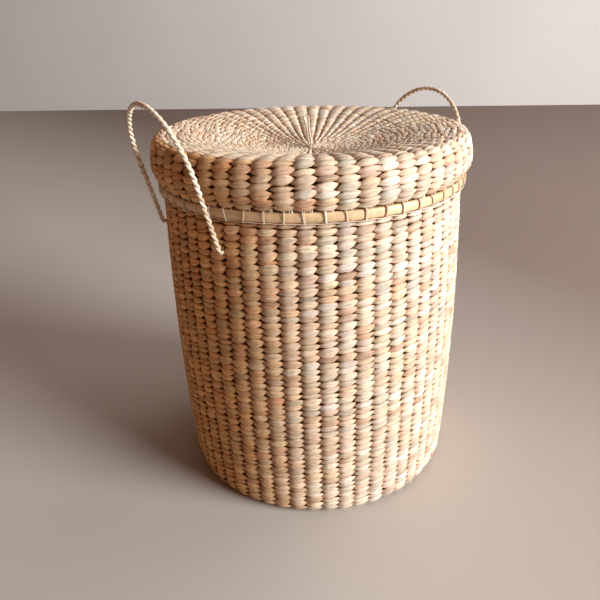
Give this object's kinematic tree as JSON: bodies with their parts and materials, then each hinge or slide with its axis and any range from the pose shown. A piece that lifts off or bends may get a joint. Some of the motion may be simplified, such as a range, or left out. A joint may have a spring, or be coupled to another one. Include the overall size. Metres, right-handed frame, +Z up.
{
  "type": "lidded woven laundry basket",
  "caption": "Round twined laundry basket with a dished over-cap lid, a lashed cane rim, a small pull loop and rope side handles.",
  "frame": {"origin": "centre of the underside of the base, on the floor", "axes": "+Z up along the basket's axis; the picture's viewer stands at -Y and the left handle is on the -X, -Y side"},
  "size_m": [0.4442, 0.4294, 0.5531],
  "materials": {
    "strand": "dried twisted plant strand, soft satin with a fine lengthwise grain",
    "shaded_strand": "dried twisted plant strand, inner face, a little darker",
    "stake": "pale dried stalk, smooth",
    "cane": "split cane, smooth and slightly glossy",
    "thread": "thin pale twisted thread",
    "rope": "twisted two-ply plant fibre rope"
  },
  "bodies": {
    "basket": {"base_boss": "shaded_strand", "base_weave_under": "shaded_strand", "base_weave_upper": "strand", "side_stakes": "stake", "bye_stakes": "stake", "wall_weave_outer": "strand", "wall_stitches": "strand", "wall_weave_inner": "shaded_strand", "shoulder_wale": "strand", "collar_weave_outer": "shaded_strand", "collar_weave_inner": "shaded_strand", "collar_stakes": "stake", "collar_rim": "strand", "left_handle_knots": "rope", "right_handle_knots": "rope"},
    "lid": {"lid_boss": "shaded_strand", "lid_top_weave": "strand", "lid_under_weave": "shaded_strand", "lid_skirt_weave": "strand", "lid_skirt_stitches": "strand", "lid_skirt_lining": "shaded_strand", "lid_stakes": "stake", "lid_bye_stakes": "stake", "lid_rim_strip": "cane", "lid_inner_strip": "cane", "lid_lashing": "thread", "lid_pull_knot": "rope"},
    "left_handle": {"left_handle": "rope"},
    "right_handle": {"right_handle": "rope"},
    "lid_pull": {"lid_pull_loop": "rope"}
  },
  "joints": [
    {"name": "lid_lift", "type": "slide", "parent": "basket", "child": "lid", "axis": [0, 0, 1], "range_m": [0, 0.2]},
    {"name": "left_handle_swing", "type": "hinge", "parent": "basket", "child": "left_handle", "pos_m": [-0.15519, -0.11346, 0.387], "axis": [0.5902, -0.8073, 0], "range_deg": [0, 150]},
    {"name": "right_handle_swing", "type": "hinge", "parent": "basket", "child": "right_handle", "pos_m": [0.15519, 0.11346, 0.387], "axis": [-0.5902, 0.8073, 0], "range_deg": [0, 150]},
    {"name": "pull_swing", "type": "hinge", "parent": "lid", "child": "lid_pull", "pos_m": [0, 0, 0.4732], "axis": [0.9903, 0.1392, 0], "range_deg": [-25, 90]}
  ]
}
